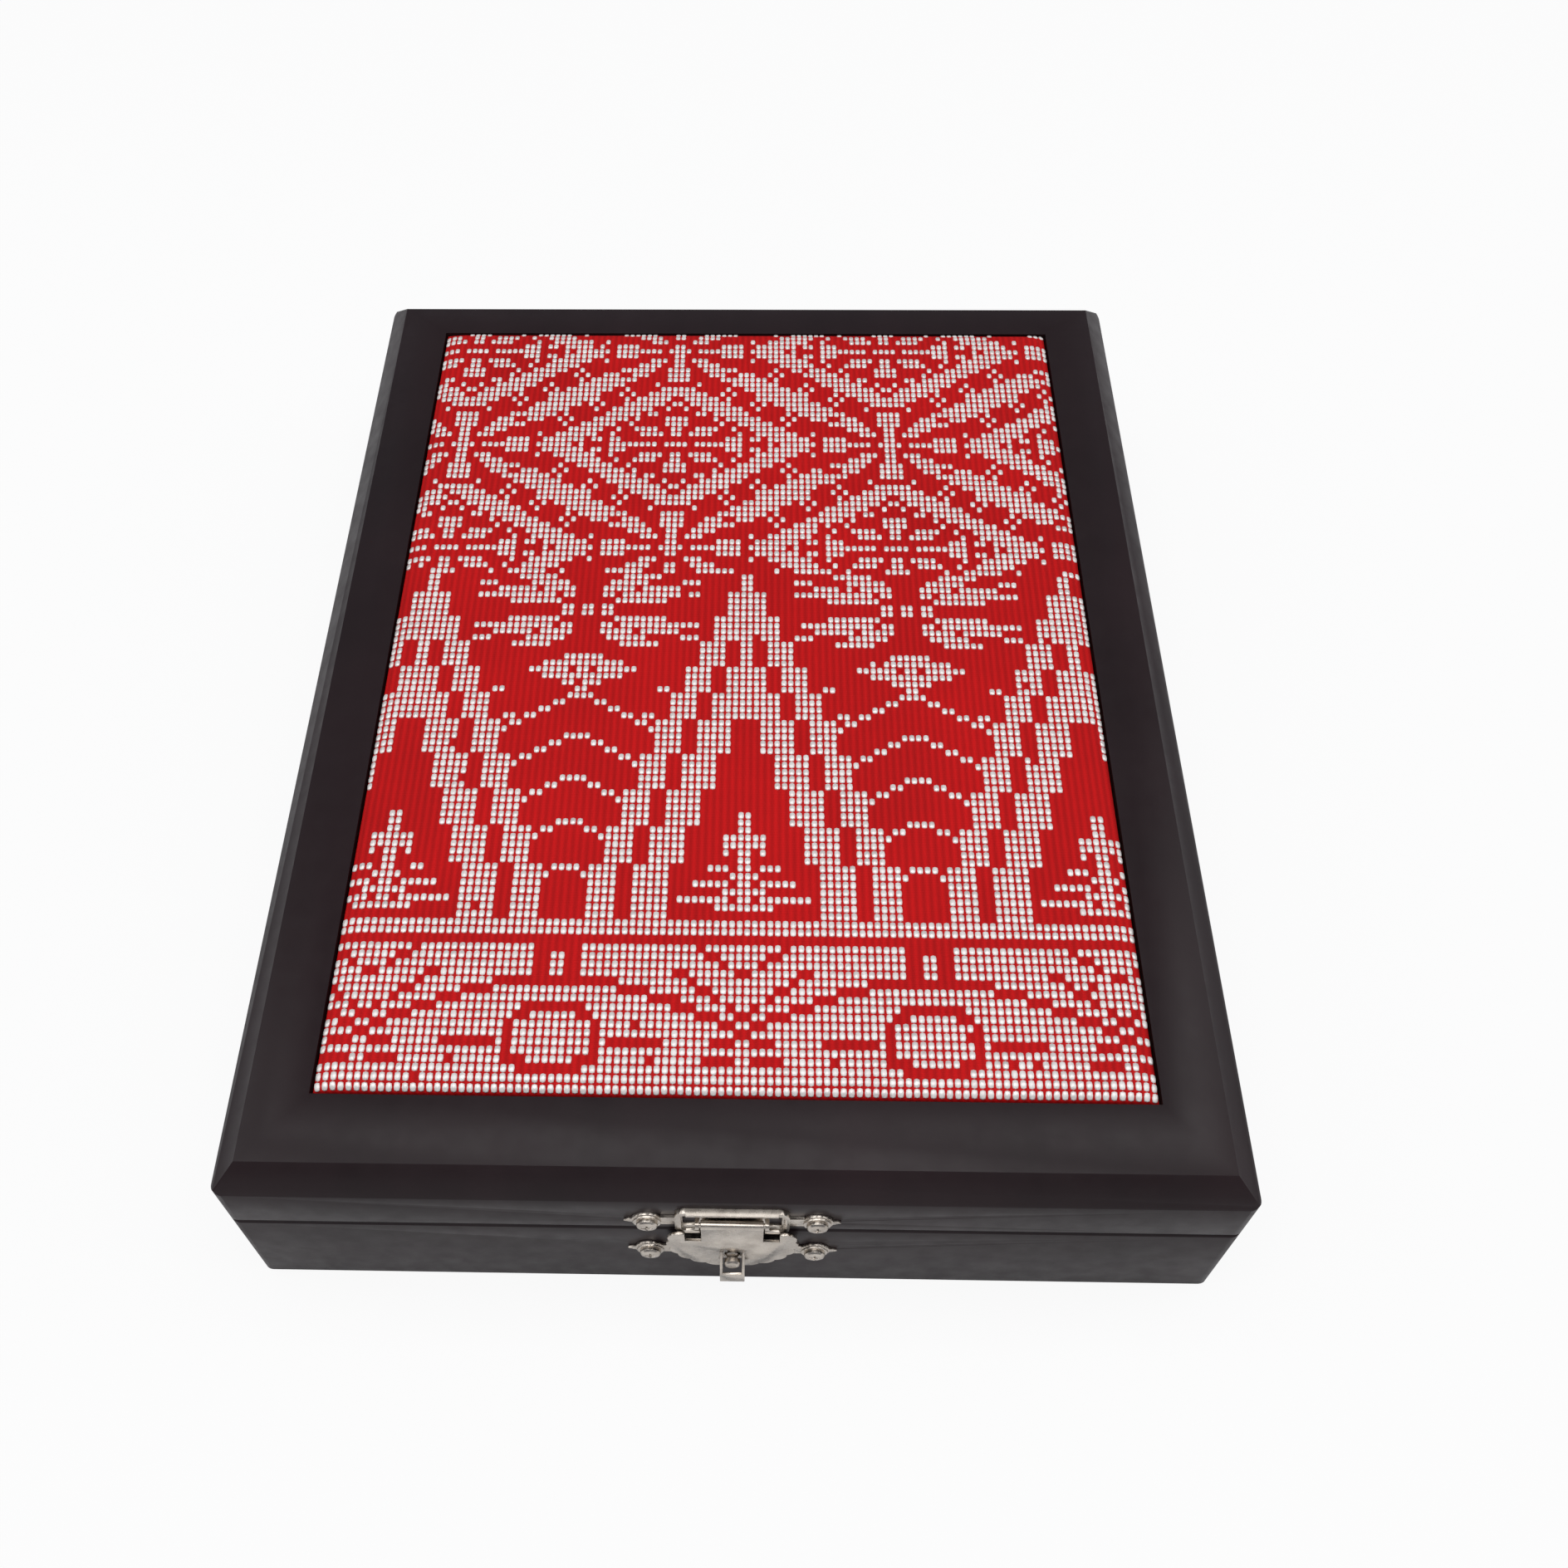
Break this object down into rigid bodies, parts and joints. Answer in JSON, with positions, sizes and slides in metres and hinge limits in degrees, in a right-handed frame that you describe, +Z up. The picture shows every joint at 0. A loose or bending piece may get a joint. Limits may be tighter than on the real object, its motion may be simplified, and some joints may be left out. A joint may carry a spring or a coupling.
{
  "type": "brocade gift box",
  "caption": "Flat rectangular lacquered wooden box with a chamfered lid, a padded brocade panel set in its top, back hinges and a scalloped hasp latch.",
  "frame": {"origin": "middle of the box's underside, on the surface that it rests on", "axes": "+X to the right seen from the hasp, +Y from the hasp to the hinges, +Z up through the lid"},
  "size_m": [0.2, 0.269, 0.0492],
  "materials": {
    "lacquered_wood": "satin dark brown lacquer",
    "plywood": "bare board",
    "brocade": "red cloth with raised silver floats",
    "silver_thread": "metallic silver weft floats",
    "foam": "soft foam sheet",
    "velvet": "dark red velvet",
    "nickel": "nickel plated pressed steel"
  },
  "bodies": {
    "base": {"base_front_rail": "lacquered_wood", "base_back_rail": "lacquered_wood", "base_left_rail": "lacquered_wood", "base_right_rail": "lacquered_wood", "base_bottom_panel": "plywood", "floor_pad_board": "plywood", "floor_pad": "velvet", "front_liner": "velvet", "back_liner": "velvet", "left_liner": "velvet", "right_liner": "velvet", "catch_plate": "nickel", "catch_stud": "nickel", "catch_plate_screws": "nickel", "left_hinge_base_leaf": "nickel", "right_hinge_base_leaf": "nickel", "left_hinge_pin": "nickel", "right_hinge_pin": "nickel", "base_hinge_screws": "nickel"},
    "lid": {"lid_front_rail": "lacquered_wood", "lid_back_rail": "lacquered_wood", "lid_left_rail": "lacquered_wood", "lid_right_rail": "lacquered_wood", "lid_top_frame": "lacquered_wood", "lid_backing_board": "plywood", "pad_board": "plywood", "pad_foam": "foam", "brocade_cover": "brocade", "lid_lining_board": "plywood", "lid_lining": "velvet", "lid_latch_plate": "nickel", "lid_plate_screws": "nickel", "hasp_pin": "nickel", "left_hinge_lid_leaf": "nickel", "right_hinge_lid_leaf": "nickel", "lid_hinge_screws": "nickel"},
    "hasp": {"hasp_flap": "nickel"}
  },
  "joints": [
    {"name": "lid_hinge", "type": "hinge", "parent": "base", "child": "lid", "pos_m": [0, 0.129, 0.0291], "axis": [-1, 0, 0], "range_deg": [0, 100]},
    {"name": "hasp_swing", "type": "hinge", "parent": "lid", "child": "hasp", "pos_m": [0, -0.13385, 0.036], "axis": [-1, 0, 0], "range_deg": [0, 150]}
  ]
}
